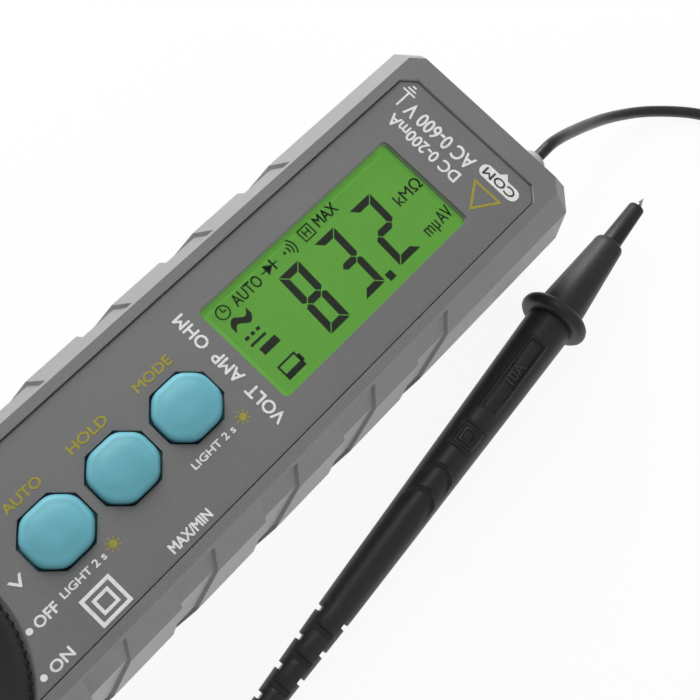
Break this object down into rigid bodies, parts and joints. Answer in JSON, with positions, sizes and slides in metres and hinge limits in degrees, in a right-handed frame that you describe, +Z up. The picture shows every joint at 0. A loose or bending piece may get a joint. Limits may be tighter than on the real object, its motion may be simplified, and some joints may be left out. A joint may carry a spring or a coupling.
{
  "type": "digital multimeter",
  "caption": "Pen-type digital multimeter with a lit display, push buttons, a thumb dial, a needle nose with a pull-off sleeve and a hand probe on a fixed lead.",
  "frame": {"origin": "middle of the flat back face that the meter lies on", "axes": "+Y along the meter towards its needle, +Z up out of the display face, +X to the right as seen from above with the needle pointing away"},
  "size_m": [0.1066, 0.258, 0.0292],
  "materials": {
    "case": "fine-grained matt grey",
    "case_back": "fine-grained matt lighter grey",
    "inlay": "printed grey sheet",
    "lens": "clear polished plastic",
    "screws": "zinc-plated",
    "crystal": "green lit liquid crystal cell",
    "white_plastic": "natural white",
    "strip_rubber": "black",
    "led_white": "clear resin",
    "board": "green solder mask",
    "chip": "moulded black",
    "parts_tan": "ceramic tan",
    "fuse_ceramic": "ceramic tube with metal caps",
    "contact_brass": "bright",
    "black_plastic": "satin black",
    "plunger_red": "moulded",
    "button_teal": "soft-touch teal",
    "spring_steel": "nickel-plated",
    "cell_jacket": "printed metal jacket",
    "needle_steel": "bright plated",
    "sleeve_black": "satin black",
    "collar_grey": "satin light grey",
    "lead_black": "glossy black jacket",
    "probe_black": "satin black"
  },
  "bodies": {
    "meter": {"front_shell": "case", "back_shell": "case_back", "face_panel": "inlay", "lcd_window": "lens", "case_screws": "screws", "board_screws": "screws", "lcd_glass": "crystal", "lcd_frame": "white_plastic", "backlight": "white_plastic", "contact_strip": "strip_rubber", "backlight_led": "led_white", "lamp_led": "led_white", "main_board": "board", "meter_chip": "chip", "small_parts": "parts_tan", "fuse": "fuse_ceramic", "fuse_clips": "contact_brass", "needle_contact": "contact_brass", "switch_bodies": "black_plastic", "buzzer": "black_plastic", "nose_cone": "black_plastic", "finger_guard": "black_plastic", "lead_clamp": "black_plastic", "battery_springs": "spring_steel", "battery_plates": "spring_steel", "cell_a": "cell_jacket", "cell_b": "cell_jacket", "nose_needle": "needle_steel", "probe_needle": "needle_steel", "lead_collar": "collar_grey", "lead_inner": "lead_black", "lead_free_a": "lead_black", "lead_coil": "lead_black", "lead_free_b": "lead_black", "probe_relief": "probe_black", "probe_barrel": "probe_black", "probe_guard": "probe_black", "probe_cone": "probe_black"},
    "select_key": {"select_button": "button_teal", "select_plunger": "plunger_red"},
    "hold_key": {"hold_button": "button_teal", "hold_plunger": "plunger_red"},
    "range_key": {"range_button": "button_teal", "range_plunger": "plunger_red"},
    "selector": {"selector_dial": "black_plastic", "dial_screw": "screws", "selector_rotor": "white_plastic", "rotor_contacts": "contact_brass", "detent_ball": "spring_steel", "detent_spring": "spring_steel"},
    "door": {"battery_door": "case_back", "door_screw": "screws"},
    "nose_cap": {"nose_sleeve": "sleeve_black"},
    "probe_cap": {"probe_sleeve": "sleeve_black"}
  },
  "joints": [
    {"name": "select_press", "type": "slide", "parent": "meter", "child": "select_key", "axis": [0, 0, -1], "range_m": [0, 0.0005], "stiffness_N_per_m": 1000},
    {"name": "hold_press", "type": "slide", "parent": "meter", "child": "hold_key", "axis": [0, 0, -1], "range_m": [0, 0.0005], "stiffness_N_per_m": 1000},
    {"name": "range_press", "type": "slide", "parent": "meter", "child": "range_key", "axis": [0, 0, -1], "range_m": [0, 0.0005], "stiffness_N_per_m": 1000},
    {"name": "selector_turn", "type": "hinge", "parent": "meter", "child": "selector", "pos_m": [0, 0.05, 0.026], "axis": [0, 0, 1], "range_deg": [-33.5, 33.5]},
    {"name": "door_lift", "type": "slide", "parent": "meter", "child": "door", "axis": [0, 0, -1], "range_m": [0, 0.012]},
    {"name": "nose_sleeve_pull", "type": "slide", "parent": "meter", "child": "nose_cap", "axis": [0, 1, 0], "range_m": [0, 0.025]},
    {"name": "probe_sleeve_pull", "type": "slide", "parent": "meter", "child": "probe_cap", "axis": [0.1009, -0.9937, 0.0482], "range_m": [0, 0.012]}
  ]
}
